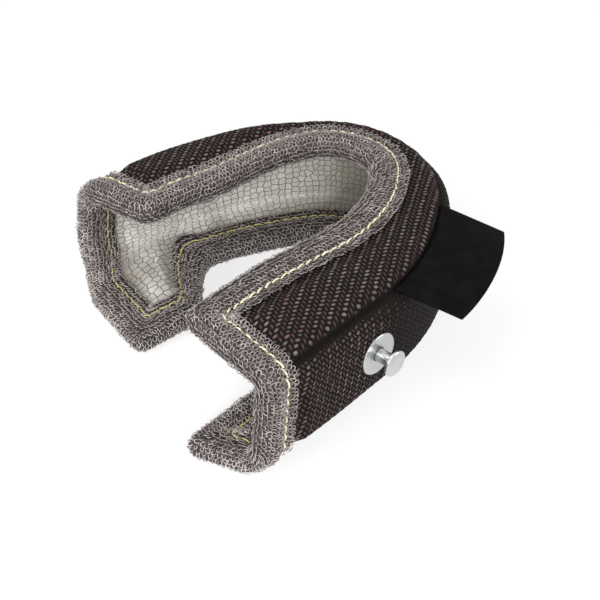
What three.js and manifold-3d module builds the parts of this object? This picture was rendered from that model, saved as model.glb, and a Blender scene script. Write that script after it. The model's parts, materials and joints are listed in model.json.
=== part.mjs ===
// Padded heat blanket for an external wastegate. It is a channel bent into a U, which slips
// round the valve body and is laced shut between two rivets. Three panels of basalt twill are
// seamed over needled felt, a knitted steel lining faces the hot side, and one knitted steel
// binding is folded over the whole edge and sewn down.
// Millimetres, +Z up. +X points at the closed end of the U, and the origin is the middle of
// the footprint, on the surface that the blanket stands on.

import * as THREE from "three";
import { mergeVertices } from "three/addons/utils/BufferGeometryUtils.js";
import Module from "manifold-3d";

const degree = Math.PI / 180;

// Plan of the outer wall: a round bend, and on each side of it a bowed stretch and a straight one.
const bendRadius = 50;
const bendTurn = 94;
const leftBowRadius = 178;
const leftBowLength = 95;
const leftStraight = 15;
const rightBowRadius = 104;
const rightBowLength = 88;
const rightStraight = 72;

// Section of the channel, on its outer face.
const shoulderHeight = 46.5;
const rimHeight = 52.5;
const shoulderFillet = 11;
const shoulderFilletBehind = 16;
const heelFillet = 12;
const heelFilletLeft = 25;
const heelFilletRight = 11;
const heelFilletFade = 50;
const wallInset = 1;
const wallInsetRight = -1;
const topReachLeft = 42;
const topReachBend = 28.5;
const topReachRight = 47;
const leftReachKept = 45;
const leftReachBlend = 70;
const rightReachKept = 28;
const rightReachBlend = 165;
const bottomReach = 34;
const bottomReachRight = 32;

// Foot of the bottom panel at the left end, which closes the wrap under the valve.
const footReach = 63;
const footLength = 24;
const footBlend = 30;

// How far each end's edge lies in from a square cut: at the rims, at the seams, and where the
// bottom panel goes flat.
const leftCut = { topRim: 6, shoulder: 1, heel: -4, sole: -11.5, bottomRim: -16 };
const rightCut = { topRim: 9, shoulder: 7, heel: 2, sole: -2, bottomRim: -9 };
const cutFade = 70;

// Layers, from the outside in.
const coverThickness = 1.2;
const feltThickness = 6;
const liningThickness = 1;
const bindingThickness = 1;
const layerGap = 0.3;

// Relief of the outer face: panels crown between their seams and are pulled in at them.
const panelCrown = 1.3;
const seamPull = 1.8;
const seamPullWidth = 8;

// Binding and its stitching.
const bindingWidth = 15;
const stitchInset = 11;
const foldInset = 2.2;
const edgeRecess = 1.9;
const stitchPull = 0.5;
const edgePlump = 0.5;
const pressFade = 7;
const threadDiameter = 0.7;

// Rivets that the lacing wire is hooked round.
const rivetFromLeftEnd = 60;
const rivetFromRightEnd = 64;
const rivetHeight = 25;
const headDiameter = 11;
const headThickness = 1.3;
const shankDiameter = 5.5;
const laceGap = 7.2;
const setHeadDiameter = 8;
const setHeadThickness = 1;
const outerWasherDiameter = 18;
const innerWasherDiameter = 16;
const washerThickness = 0.9;
const fitGap = 0.3;

// Label folded from one tape and caught in the shoulder seam.
const labelWidth = 61;
const labelLength = 28.5;
const labelPast = 60;
const labelDroop = 12;
const labelPly = 0.5;
const labelPlyGap = 0.4;
const labelSeat = 0.5;

const wasm = await Module();
wasm.setup();

const stack = coverThickness + feltThickness + liningThickness + 2 * layerGap;
const bendHalf = (bendTurn * degree) / 2;
const bendHalfLength = bendRadius * bendHalf;
const apexDistance = leftStraight + leftBowLength + bendHalfLength;
const wrapLength = apexDistance + bendHalfLength + rightBowLength + rightStraight;

const clamp01 = (x) => Math.min(1, Math.max(0, x));
const smooth = (x) => clamp01(x) ** 2 * (3 - 2 * clamp01(x));
const mix = (a, b, x) => a + (b - a) * x;

// The outer wall in plan at a distance from the left end: a point, and the inward normal.
function planAt(distance) {
  const fromApex = distance - apexDistance;
  const side = fromApex < 0 ? 1 : -1;
  const bowRadius = fromApex < 0 ? leftBowRadius : rightBowRadius;
  const bowLength = fromApex < 0 ? leftBowLength : rightBowLength;
  const onBend = Math.min(Math.abs(fromApex), bendHalfLength);
  const onBow = Math.min(Math.abs(fromApex) - onBend, bowLength);
  const onStraight = Math.abs(fromApex) - onBend - onBow;
  const bendAngle = onBend / bendRadius;
  const angle = bendAngle + onBow / bowRadius;
  const x =
    (bendRadius - bowRadius) * Math.cos(bendAngle) +
    bowRadius * Math.cos(angle) -
    onStraight * Math.sin(angle);
  const y =
    (bendRadius - bowRadius) * Math.sin(bendAngle) +
    bowRadius * Math.sin(angle) +
    onStraight * Math.cos(angle);
  return {
    point: new THREE.Vector2(x, side * y),
    inward: new THREE.Vector2(-Math.cos(angle), -side * Math.sin(angle)),
  };
}

// Reach of the top and bottom panels in from the wall, along the wrap.
function topReachAt(distance) {
  const left = 1 - smooth((distance - leftReachKept) / leftReachBlend);
  const right = 1 - smooth((wrapLength - distance - rightReachKept) / rightReachBlend);
  return topReachBend + (topReachLeft - topReachBend) * left + (topReachRight - topReachBend) * right;
}
function bottomReachAt(distance) {
  const foot = 1 - smooth((distance - footLength) / footBlend);
  const right = smooth((distance - apexDistance) / (wrapLength - apexDistance));
  return mix(mix(bottomReach, bottomReachRight, right), footReach, foot);
}

// How far round a place lies from the middle of the bend to the right arm.
function rightness(distance) {
  return smooth((distance - apexDistance) / rightBowLength);
}

// Fillets of the section: the shoulder is fuller behind the bend, and the heel at the left end.
function filletsAt(distance) {
  const behind = smooth((distance - 70) / 40) * (1 - smooth((distance - apexDistance - 10) / 50));
  const heel = mix(heelFilletLeft, heelFillet, smooth(distance / heelFilletFade));
  return [
    mix(shoulderFillet, shoulderFilletBehind, behind),
    mix(heel, heelFilletRight, rightness(distance)),
  ];
}

// One section as a run of straight stretches and fillet arcs, from the top rim to the bottom rim.
function sectionAt(distance) {
  const corners = [
    new THREE.Vector2(topReachAt(distance), rimHeight),
    new THREE.Vector2(0, shoulderHeight),
    new THREE.Vector2(mix(wallInset, wallInsetRight, rightness(distance)), 0),
    new THREE.Vector2(bottomReachAt(distance), 0),
  ];
  const directions = [0, 1, 2].map((i) => corners[i + 1].clone().sub(corners[i]).normalize());
  const turns = [0, 1].map((i) => directions[i].angleTo(directions[i + 1]));
  const radii = filletsAt(distance);
  const cut = turns.map((turn, i) => radii[i] * Math.tan(turn / 2));
  const straights = [
    corners[0].distanceTo(corners[1]) - cut[0],
    corners[1].distanceTo(corners[2]) - cut[0] - cut[1],
    corners[2].distanceTo(corners[3]) - cut[1],
  ];
  const arcs = turns.map((turn, i) => radii[i] * turn);
  const shoulderSeam = straights[0] + arcs[0] / 2;
  const heelSeam = straights[0] + arcs[0] + straights[1] + arcs[1] / 2;
  const width = heelSeam + arcs[1] / 2 + straights[2];
  return { corners, directions, turns, radii, straights, arcs, shoulderSeam, heelSeam, width };
}

// A point of the section at a distance across it from the top rim, and its inward normal.
function acrossSection(section, across) {
  let at = section.corners[0].clone();
  let left = across;
  for (let i = 0; i < 3; i += 1) {
    const direction = section.directions[i];
    const straight = i === 2 ? left : Math.min(left, section.straights[i]);
    at.addScaledVector(direction, straight);
    left -= straight;
    const inward = new THREE.Vector2(-direction.y, direction.x);
    if (left <= 0 || i === 2) return { at, inward };
    const radius = section.radii[i];
    const angle = Math.min(left, section.arcs[i]) / radius;
    const centre = at.clone().addScaledVector(inward, radius);
    at = inward.clone().rotateAround(new THREE.Vector2(), angle).multiplyScalar(-radius).add(centre);
    left -= section.arcs[i];
    if (left <= 0) {
      return { at, inward: inward.rotateAround(new THREE.Vector2(), angle) };
    }
  }
}

// How far in from a square cut an end's edge lies, at a distance across the section.
function cutAt(cut, section, across) {
  const { shoulderSeam, heelSeam, arcs, width } = section;
  const soleStart = heelSeam + arcs[1] / 2;
  if (across < shoulderSeam) return mix(cut.topRim, cut.shoulder, across / shoulderSeam);
  if (across < heelSeam) {
    return mix(cut.shoulder, cut.heel, (across - shoulderSeam) / (heelSeam - shoulderSeam));
  }
  if (across < soleStart) return mix(cut.heel, cut.sole, (across - heelSeam) / (soleStart - heelSeam));
  return mix(cut.sole, cut.bottomRim, (across - soleStart) / (width - soleStart));
}

// A point of the blanket: along the wrap, across the section and below the outer face.
function blanketPoint(along, across, depth) {
  const section = sectionAt(along);
  const leftShift = cutAt(leftCut, section, across) * (1 - smooth(along / cutFade));
  const rightShift = cutAt(rightCut, section, across) * (1 - smooth((wrapLength - along) / cutFade));
  const { point, inward } = planAt(along + leftShift - rightShift);
  const local = acrossSection(section, across);
  const reach = local.at.x + depth * local.inward.x;
  return new THREE.Vector3(
    point.x + inward.x * reach,
    point.y + inward.y * reach,
    local.at.y + depth * local.inward.y,
  );
}

// How much longer the bottom rim is than the wrap where the foot widens.
function rimSlant(along) {
  const step = 1;
  const change = bottomReachAt(along + step) - bottomReachAt(along - step);
  return Math.hypot(1, change / (2 * step));
}

// Distance in from the nearest edge, which decides where the binding lies.
function edgeDistance(along, across) {
  const { width } = sectionAt(along);
  return Math.min(along, wrapLength - along, across, (width - across) / rimSlant(along));
}

// Depth that the stitched edge is pressed in from the face of the field. It changes slope only
// at lines of the mesh, so that the layers stay parallel on their facets.
const bindingLine = bindingWidth + 0.4;
function edgePress(edge) {
  const rising = (edge - foldInset) / (stitchInset - foldInset);
  const falling = (bindingLine - edge) / (bindingLine - stitchInset);
  const pull = clamp01(Math.min(rising, falling));
  const field = clamp01((edge - bindingLine) / pressFade);
  return (edgeRecess + stitchPull * pull) * (1 - field);
}

// Depth of the outer face: pressed at the edge, pulled in at the seams, crowned between them.
function outerDepth(along, across) {
  const section = sectionAt(along);
  const edge = edgeDistance(along, across);
  const field = smooth((edge - bindingLine) / seamPullWidth);
  const toShoulder = Math.abs(across - section.shoulderSeam);
  const toHeel = Math.abs(across - section.heelSeam);
  const pull = Math.max(0, 1 - Math.min(toShoulder, toHeel) / seamPullWidth);
  const crown = across > section.heelSeam ? 0 : panelCrown * (1 - pull) * field;
  return edgePress(edge) + seamPull * pull * field - crown;
}

// Depth of the inner face of the lining.
function innerDepth(along, across) {
  return stack - edgePress(edgeDistance(along, across));
}

// Lines of the mesh along the wrap: close together at the ends, the foot and the bend.
const edgeLines = [foldInset, stitchInset, bindingLine];
function evenly(from, to, count) {
  return Array.from({ length: count }, (_, i) => mix(from, to, (i + 1) / (count + 1)));
}
const footEnd = footLength + footBlend;
const bendStart = apexDistance - bendHalfLength;
const bendEnd = apexDistance + bendHalfLength;
const alongLines = [
  ...edgeLines,
  footLength,
  ...evenly(footLength, footEnd, 3),
  footEnd,
  ...evenly(footEnd, bendStart, 2),
  bendStart,
  ...evenly(bendStart, bendEnd, 7),
  bendEnd,
  ...evenly(bendEnd, wrapLength - bindingLine, 6),
  ...edgeLines.map((line) => wrapLength - line).reverse(),
];

// Lines of the mesh across one panel, at a place along the wrap.
function topLines(along) {
  const { shoulderSeam, arcs } = sectionAt(along);
  const arcStart = shoulderSeam - arcs[0] / 2;
  return [...edgeLines, mix(bindingLine, arcStart, 0.6), mix(arcStart, shoulderSeam, 0.3), shoulderSeam];
}
function wallLines(along) {
  const { shoulderSeam, heelSeam, arcs } = sectionAt(along);
  const arcEnd = shoulderSeam + arcs[0] / 2;
  const arcStart = heelSeam - arcs[1] / 2;
  return [shoulderSeam, mix(shoulderSeam, arcEnd, 0.8), mix(arcEnd, arcStart, 0.5), arcStart, heelSeam];
}
function bottomLines(along) {
  const { heelSeam, arcs, width } = sectionAt(along);
  const arcEnd = heelSeam + arcs[1] / 2;
  const slant = rimSlant(along);
  const edges = edgeLines.map((line) => width - line * slant).reverse();
  const flatEnd = Math.max(mix(arcEnd, edges[0], 0.3), width - (bindingLine + pressFade) * slant);
  return [heelSeam, mix(heelSeam, arcEnd, 0.5), arcEnd, flatEnd, ...edges];
}
// A panel stops short of its seams, so that neighbours don't touch.
function seamed(lines, startsAtSeam, endsAtSeam) {
  const short = layerGap / 2;
  return (along) => {
    const across = lines(along);
    if (startsAtSeam) across[0] += short;
    if (endsAtSeam) across[across.length - 1] -= short;
    return across;
  };
}
const topPanel = seamed(topLines, false, true);
const wallPanel = seamed(wallLines, true, true);
const bottomPanel = seamed(bottomLines, true, false);
function wholeSection(along) {
  return [...topLines(along), ...wallLines(along).slice(1), ...bottomLines(along).slice(1)];
}

function geometryOf(points, faces) {
  const geometry = new THREE.BufferGeometry();
  geometry.setAttribute("position", new THREE.Float32BufferAttribute(points.flatMap((p) => p.toArray()), 3));
  geometry.setIndex(faces);
  return geometry;
}

// A closed sheet between two depths over a grid of lines along and across the blanket.
function sheet(acrossLines, upper, lower) {
  const points = [];
  const rows = alongLines.length;
  const columns = acrossLines(0).length;
  for (const depth of [upper, lower]) {
    for (const along of alongLines) {
      for (const across of acrossLines(along)) {
        points.push(blanketPoint(along, across, depth(along, across)));
      }
    }
  }
  const index = (face, row, column) => face * rows * columns + row * columns + column;
  const faces = [];
  const quad = (a, b, c, d) => faces.push(a, c, b, a, d, c);
  for (let r = 0; r < rows - 1; r += 1) {
    for (let c = 0; c < columns - 1; c += 1) {
      quad(index(0, r, c), index(0, r, c + 1), index(0, r + 1, c + 1), index(0, r + 1, c));
      quad(index(1, r, c), index(1, r + 1, c), index(1, r + 1, c + 1), index(1, r, c + 1));
    }
  }
  for (let r = 0; r < rows - 1; r += 1) {
    const last = columns - 1;
    quad(index(0, r, 0), index(0, r + 1, 0), index(1, r + 1, 0), index(1, r, 0));
    quad(index(0, r + 1, last), index(0, r, last), index(1, r, last), index(1, r + 1, last));
  }
  for (let c = 0; c < columns - 1; c += 1) {
    const last = rows - 1;
    quad(index(0, 0, c + 1), index(0, 0, c), index(1, 0, c), index(1, 0, c + 1));
    quad(index(0, last, c), index(0, last, c + 1), index(1, last, c + 1), index(1, last, c));
  }
  return geometryOf(points, faces);
}

const coverOuter = outerDepth;
const coverInner = (along, across) => outerDepth(along, across) + coverThickness;
const feltOuter = (along, across) => coverInner(along, across) + layerGap;
const liningInner = innerDepth;
const liningOuter = (along, across) => innerDepth(along, across) - liningThickness;
const feltInner = (along, across) => liningOuter(along, across) - layerGap;

// The blanket's edge as a closed run of stations. Each has the way in from the edge as a
// function of the distance, so that the corners are mitred.
function edgeStations() {
  const field = alongLines.slice(2, -2);
  const station = (place) => ({ place });
  const top = field.map((along) => station((edge) => [along, edge]));
  const bottom = field.map((along) =>
    station((edge) => [along, sectionAt(along).width - edge * rimSlant(along)]),
  );
  const inner = (along) => wholeSection(along).slice(2, -2);
  const end = (alongOf) =>
    inner(alongOf(0)).map((_, i) => station((edge) => [alongOf(edge), inner(alongOf(edge))[i]]));
  const left = end((edge) => edge);
  const right = end((edge) => wrapLength - edge);
  const corner = (alongOf, isTop) =>
    station((edge) => {
      const along = alongOf(edge);
      return [along, isTop ? edge : sectionAt(along).width - edge * rimSlant(along)];
    });
  return [
    corner((edge) => edge, true),
    ...top,
    corner((edge) => wrapLength - edge, true),
    ...right,
    corner((edge) => wrapLength - edge, false),
    ...bottom.reverse(),
    corner((edge) => edge, false),
    ...left.reverse(),
  ];
}

// A closed loop of one profile, carried round the blanket's edge. The profile is a list of
// [distance from the edge, depth].
function edgeLoop(profile) {
  const stations = edgeStations();
  const points = stations.flatMap(({ place }) =>
    profile.map(([edge, depth]) => {
      const [along, across] = place(edge);
      return blanketPoint(along, across, depth);
    }),
  );
  const size = profile.length;
  const faces = [];
  stations.forEach((_, i) => {
    const here = i * size;
    const next = ((i + 1) % stations.length) * size;
    profile.forEach((__, j) => {
      const k = (j + 1) % size;
      faces.push(here + j, next + k, next + j, here + j, here + k, next + k);
    });
  });
  return geometryOf(points, faces);
}

// The binding's height over the cover or the lining: plump between its fold and its stitching.
const plumpInset = (foldInset + stitchInset) / 2;
const bindingClear = layerGap + bindingThickness;
const outerLeg = (edge) => edgePress(edge) - bindingClear;
const innerLeg = (edge) => stack - outerLeg(edge);
const clearOuter = (edge) => edgePress(edge) - layerGap;
const clearInner = (edge) => stack - clearOuter(edge);
const fold = foldInset - 2 * layerGap;
const bindingProfile = [
  [bindingWidth, outerLeg(bindingWidth)],
  [stitchInset, outerLeg(stitchInset)],
  [plumpInset, outerLeg(plumpInset) - edgePlump],
  [fold * 0.9, outerLeg(foldInset) - edgePlump * 0.3],
  [fold * 0.15, stack * 0.25],
  [fold * 0.15, stack * 0.75],
  [fold * 0.9, innerLeg(foldInset) + edgePlump * 0.3],
  [plumpInset, innerLeg(plumpInset) + edgePlump],
  [stitchInset, innerLeg(stitchInset)],
  [bindingWidth, innerLeg(bindingWidth)],
  [bindingWidth, clearInner(bindingWidth)],
  [stitchInset, clearInner(stitchInset)],
  [fold, clearInner(foldInset)],
  [fold, clearOuter(foldInset)],
  [stitchInset, clearOuter(stitchInset)],
  [bindingWidth, clearOuter(bindingWidth)],
];

// A thread laid along the stitch line, on the outer or the inner leg of the binding.
const threadFoot = layerGap + edgePlump * 0.1;
function threadProfile(isOuter) {
  const half = threadDiameter / 2;
  const low = outerLeg(stitchInset) - threadFoot;
  const corners = [
    [stitchInset + half, low],
    [stitchInset + half, low - threadDiameter],
    [stitchInset - half, low - threadDiameter],
    [stitchInset - half, low],
  ];
  return isOuter ? corners : corners.reverse().map(([edge, depth]) => [edge, stack - depth]);
}

// Booleans.
function solidOf(geometry) {
  const merged = mergeVertices(geometry.clone().deleteAttribute("normal").deleteAttribute("uv"), 1e-4);
  return new wasm.Manifold(
    new wasm.Mesh({
      numProp: 3,
      vertProperties: merged.getAttribute("position").array,
      triVerts: new Uint32Array(merged.index.array),
    }),
  );
}
function geometryFrom(solid) {
  const mesh = solid.getMesh();
  const geometry = new THREE.BufferGeometry();
  geometry.setAttribute("position", new THREE.BufferAttribute(mesh.vertProperties, 3));
  geometry.setIndex(new THREE.BufferAttribute(mesh.triVerts, 1));
  return geometry;
}

// Where a rivet goes through the wall: its frame looks out of the wall along +Z.
const outward3 = (along) => {
  const { inward } = planAt(along);
  return new THREE.Vector3(-inward.x, -inward.y, 0);
};
function rivetSeat(along) {
  const { point } = planAt(along);
  const axis = outward3(along);
  const origin = new THREE.Vector3(point.x, point.y, rivetHeight);
  const turn = new THREE.Quaternion().setFromUnitVectors(new THREE.Vector3(0, 0, 1), axis);
  const matrix = new THREE.Matrix4().compose(origin, turn, new THREE.Vector3(1, 1, 1));
  return { matrix, inverse: matrix.clone().invert() };
}
const seats = {
  left: rivetSeat(rivetFromLeftEnd),
  right: rivetSeat(wrapLength - rivetFromRightEnd),
};

// Extent of a wall face along a rivet's axis, over the footprint of a washer.
function faceReach(geometry, seat, radius, pick) {
  const drum = new THREE.CylinderGeometry(radius, radius, 4 * stack, 24).rotateX(Math.PI / 2);
  const local = geometryFrom(
    solidOf(geometry.clone().applyMatrix4(seat.inverse)).intersect(solidOf(drum)),
  );
  local.computeBoundingBox();
  return local.boundingBox[pick].z;
}

function drilled(geometry) {
  const hole = shankDiameter / 2 + fitGap;
  const drills = Object.values(seats).map((seat) =>
    solidOf(new THREE.CylinderGeometry(hole, hole, 4 * stack, 24).rotateX(Math.PI / 2).applyMatrix4(seat.matrix)),
  );
  return geometryFrom(drills.reduce((solid, drill) => solid.subtract(drill), solidOf(geometry)));
}

function turned(profile) {
  const points = profile.map(([r, z]) => new THREE.Vector2(r, z));
  return new THREE.LatheGeometry(points, 20).rotateX(Math.PI / 2);
}
function washer(diameter) {
  const hole = shankDiameter / 2 + fitGap;
  const outer = diameter / 2;
  return turned([
    [hole, 0],
    [outer, 0],
    [outer, washerThickness],
    [hole, washerThickness],
    [hole, 0],
  ]);
}
// One turned rivet: lacing head, shank through the blanket, and the end set over a washer.
function rivet(outerWasherTop, innerWasherBottom) {
  const headUnder = outerWasherTop + laceGap;
  const headTop = headUnder + headThickness;
  const setTop = innerWasherBottom - fitGap;
  const shank = shankDiameter / 2;
  const head = headDiameter / 2;
  const set = setHeadDiameter / 2;
  return turned([
    [0, setTop - setHeadThickness],
    [set * 0.8, setTop - setHeadThickness],
    [set, setTop],
    [shank, setTop],
    [shank, headUnder],
    [head, headUnder],
    [head, headTop - 0.3],
    [head - 0.3, headTop],
    [0, headTop],
  ]);
}

// The label: a hairpin of tape that leaves the seam and droops to its fold.
function label() {
  const from = apexDistance + labelPast;
  const steps = 6;
  const thickness = 2 * labelPly + labelPlyGap;
  const outline = [
    [0, 0],
    [labelLength, 0],
    [labelLength + labelPly, thickness / 2],
    [labelLength, thickness],
    [0, thickness],
    [0, thickness - labelPly],
    [labelLength - labelPly, thickness - labelPly],
    [labelLength - labelPly, labelPly],
    [0, labelPly],
  ];
  const points = [];
  for (let i = 0; i <= steps; i += 1) {
    const along = from + (labelWidth * i) / steps;
    const section = sectionAt(along);
    const root = blanketPoint(along, section.shoulderSeam, outerDepth(along, section.shoulderSeam));
    const chord = outward3(from + labelWidth / 2);
    const out = chord.clone().multiplyScalar(Math.cos(labelDroop * degree));
    out.z = -Math.sin(labelDroop * degree);
    const up = chord.clone().multiplyScalar(Math.sin(labelDroop * degree));
    up.z = Math.cos(labelDroop * degree);
    for (const [reach, lift] of outline) {
      points.push(
        root
          .clone()
          .addScaledVector(out, reach + labelSeat)
          .addScaledVector(up, lift + labelSeat / 2),
      );
    }
  }
  const size = outline.length;
  const faces = [];
  for (let i = 0; i < steps; i += 1) {
    for (let j = 0; j < size; j += 1) {
      const k = (j + 1) % size;
      const [a, b] = [i * size, (i + 1) * size];
      faces.push(a + j, b + k, b + j, a + j, a + k, b + k);
    }
  }
  const cap = THREE.ShapeUtils.triangulateShape(
    outline.map(([x, y]) => new THREE.Vector2(x, y)),
    [],
  );
  const last = steps * size;
  for (const [a, b, c] of cap) faces.push(a, c, b, last + a, last + b, last + c);
  return geometryOf(points, faces);
}

const finishes = {
  twill: new THREE.MeshStandardMaterial({ color: 0x2b2624, roughness: 0.85, metalness: 0 }),
  felt: new THREE.MeshStandardMaterial({ color: 0xd9d4c4, roughness: 1, metalness: 0 }),
  lining: new THREE.MeshStandardMaterial({ color: 0xa9a69e, roughness: 0.5, metalness: 0.4 }),
  binding: new THREE.MeshStandardMaterial({ color: 0x8b837c, roughness: 0.6, metalness: 0.5 }),
  thread: new THREE.MeshStandardMaterial({ color: 0xe0d68a, roughness: 0.8, metalness: 0 }),
  label: new THREE.MeshStandardMaterial({ color: 0x151515, roughness: 0.7, metalness: 0 }),
  steel: new THREE.MeshStandardMaterial({ color: 0xc9cccd, roughness: 0.35, metalness: 0.9 }),
};

const blanket = new THREE.Group();
function add(parent, name, geometry, material) {
  const mesh = new THREE.Mesh(geometry, material);
  mesh.name = name;
  parent.add(mesh);
  return mesh;
}

const wallCover = drilled(sheet(wallPanel, coverOuter, coverInner));
const lining = drilled(sheet(wholeSection, liningOuter, liningInner));
add(blanket, "outer_cover_top", sheet(topPanel, coverOuter, coverInner), finishes.twill);
add(blanket, "outer_cover_wall", wallCover, finishes.twill);
add(blanket, "outer_cover_bottom", sheet(bottomPanel, coverOuter, coverInner), finishes.twill);
add(blanket, "felt_top", sheet(topPanel, feltOuter, feltInner), finishes.felt);
add(blanket, "felt_wall", drilled(sheet(wallPanel, feltOuter, feltInner)), finishes.felt);
add(blanket, "felt_bottom", sheet(bottomPanel, feltOuter, feltInner), finishes.felt);
add(blanket, "mesh_lining", lining, finishes.lining);
add(blanket, "edge_binding", edgeLoop(bindingProfile), finishes.binding);
add(blanket, "outer_stitching", edgeLoop(threadProfile(true)), finishes.thread);
add(blanket, "inner_stitching", edgeLoop(threadProfile(false)), finishes.thread);
add(blanket, "side_label", label(), finishes.label);

for (const [side, seat] of Object.entries(seats)) {
  const hardware = new THREE.Group();
  hardware.applyMatrix4(seat.matrix);
  const outerSeat = faceReach(wallCover, seat, outerWasherDiameter / 2, "max") + fitGap;
  const innerSeat = faceReach(lining, seat, innerWasherDiameter / 2, "min") - fitGap;
  const outerWasher = add(hardware, `${side}_outer_washer`, washer(outerWasherDiameter), finishes.steel);
  outerWasher.position.z = outerSeat;
  const innerWasher = add(hardware, `${side}_inner_washer`, washer(innerWasherDiameter), finishes.steel);
  innerWasher.position.z = innerSeat - washerThickness;
  const body = rivet(outerSeat + washerThickness, innerSeat - washerThickness);
  add(hardware, `${side}_rivet`, body, finishes.steel);
  blanket.add(hardware);
}

// The origin goes to the middle of the footprint.
const bounds = new THREE.Box3().setFromObject(blanket, true);
const centre = bounds.getCenter(new THREE.Vector3());
blanket.position.set(-centre.x, -centre.y, -bounds.min.z);

export default blanket;
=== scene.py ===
"""The wastegate heat blanket's fabrics, wire mesh, stitching and rivets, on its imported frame."""

import math
import bmesh
import bpy
import numpy as np
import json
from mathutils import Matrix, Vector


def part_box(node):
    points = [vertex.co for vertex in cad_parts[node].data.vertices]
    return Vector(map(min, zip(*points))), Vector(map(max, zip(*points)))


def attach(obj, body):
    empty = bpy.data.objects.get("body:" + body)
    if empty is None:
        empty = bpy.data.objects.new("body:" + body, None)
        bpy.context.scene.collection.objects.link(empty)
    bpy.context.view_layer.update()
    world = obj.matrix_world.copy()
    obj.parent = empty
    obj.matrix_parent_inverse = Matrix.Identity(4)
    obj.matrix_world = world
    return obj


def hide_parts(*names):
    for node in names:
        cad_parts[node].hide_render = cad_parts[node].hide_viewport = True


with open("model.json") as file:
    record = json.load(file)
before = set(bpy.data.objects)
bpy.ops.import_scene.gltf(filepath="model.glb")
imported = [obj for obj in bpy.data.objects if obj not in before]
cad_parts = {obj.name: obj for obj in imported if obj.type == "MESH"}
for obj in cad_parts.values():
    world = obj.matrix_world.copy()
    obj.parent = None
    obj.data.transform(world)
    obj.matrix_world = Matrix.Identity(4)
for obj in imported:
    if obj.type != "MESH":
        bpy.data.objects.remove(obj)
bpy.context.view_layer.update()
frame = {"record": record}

bl_info = {
    "name": "Wastegate Heat Blanket",
    "version": (1, 0, 0),
    "blender": (4, 5, 0),
    "location": "View3D > Sidebar > Blanket",
    "description": "Builds a sewn heat blanket: twill cover, mesh lining, bound edge and rivets",
    "category": "Object",
}

MM = 0.001

# Plan of the outer wall, in mm, as in the part's source.
BEND_RADIUS = 50.0
BEND_TURN = math.radians(94.0)
LEFT_BOW = (178.0, 95.0)
RIGHT_BOW = (104.0, 88.0)
LEFT_STRAIGHT = 15.0
RIGHT_STRAIGHT = 72.0
BEND_HALF = BEND_RADIUS * BEND_TURN / 2
APEX = LEFT_STRAIGHT + LEFT_BOW[1] + BEND_HALF
WRAP = APEX + BEND_HALF + RIGHT_BOW[1] + RIGHT_STRAIGHT
PLAN_SHIFT = (36.5707, 2.9830)

# Section of the channel, on its outer face.
SHOULDER_HEIGHT = 46.5
RIM_HEIGHT = 52.5
SHOULDER_FILLET = (11.0, 16.0)
HEEL_FILLET = (25.0, 12.0, 11.0)
HEEL_FADE = 50.0
WALL_INSET = (1.0, -1.0)
TOP_REACH = (42.0, 28.5, 47.0)
TOP_REACH_LEFT = (45.0, 70.0)
TOP_REACH_RIGHT = (28.0, 165.0)
BOTTOM_REACH = (34.0, 32.0)
FOOT = (63.0, 24.0, 30.0)
LEFT_CUT = (6.0, 1.0, -4.0, -11.5, -16.0)
RIGHT_CUT = (9.0, 7.0, 2.0, -2.0, -9.0)
CUT_FADE = 70.0

# Layers from the outside in, and the pressing of the bound edge.
COVER = 1.2
FELT = 6.0
LINING = 1.0
GAP = 0.3
STACK = COVER + FELT + LINING + 2 * GAP
FOLD = 2.2
STITCH = 11.0
BOUND = 15.0
PRESS = 1.9
CORNER = 5.0
HOLD = 8.0

# Label and rivets, in mm, and how far the label hangs below level.
LABEL_PAST_APEX = 60.0
LABEL_DROOP = math.radians(12.0)
LABEL_MIDDLE = 0.85
LABEL_PLIES = (0.6, 0.12)
RIVET_LENGTH = 22.55
RIVET_BORE = 3.05
INNER_WASHER = 8.0
SHARP = math.radians(40)

# Least heights of the binding's base, its loops and the stitching above the floor, in m.
BASE_CLEAR = 0.0003
LOOP_CLEAR = 0.002
STITCH_CLEAR = 0.0006

# The floor's half width in m, how white it is to the camera, and the air's light on the piece.
FLOOR_HALF = 3.0
FLOOR_GLOW = 0.72
AIR_LEVEL = 0.55

# The camera's place and what it looks at, in m.
CAMERA_PLACE = (-0.40781, -0.31920, 0.44231)
CAMERA_TARGET = (-0.01041, -0.01919, 0.0245)

# Ways that the ribs of the twill run, in degrees: on the flat panels from +X, and on the wall
# from the way along the wrap.
WALE_TURN = 24.0
WALL_TURN = 76.0


def smooth(x):
    x = np.clip(x, 0.0, 1.0)
    return x * x * (3 - 2 * x)


def mix(a, b, x):
    return a + (b - a) * x


def top_reach(s):
    left = 1 - smooth((s - TOP_REACH_LEFT[0]) / TOP_REACH_LEFT[1])
    right = 1 - smooth((WRAP - s - TOP_REACH_RIGHT[0]) / TOP_REACH_RIGHT[1])
    middle = TOP_REACH[1]
    return middle + (TOP_REACH[0] - middle) * left + (TOP_REACH[2] - middle) * right


def bottom_reach(s):
    foot = 1 - smooth((s - FOOT[1]) / FOOT[2])
    right = smooth((s - APEX) / (WRAP - APEX))
    return mix(mix(BOTTOM_REACH[0], BOTTOM_REACH[1], right), FOOT[0], foot)


def rightness(s):
    return smooth((s - APEX) / RIGHT_BOW[1])


def fillets(s):
    behind = smooth((s - 70) / 40) * (1 - smooth((s - APEX - 10) / 50))
    heel = mix(HEEL_FILLET[0], HEEL_FILLET[1], smooth(s / HEEL_FADE))
    return [
        mix(SHOULDER_FILLET[0], SHOULDER_FILLET[1], behind),
        mix(heel, HEEL_FILLET[2], rightness(s)),
    ]


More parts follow.
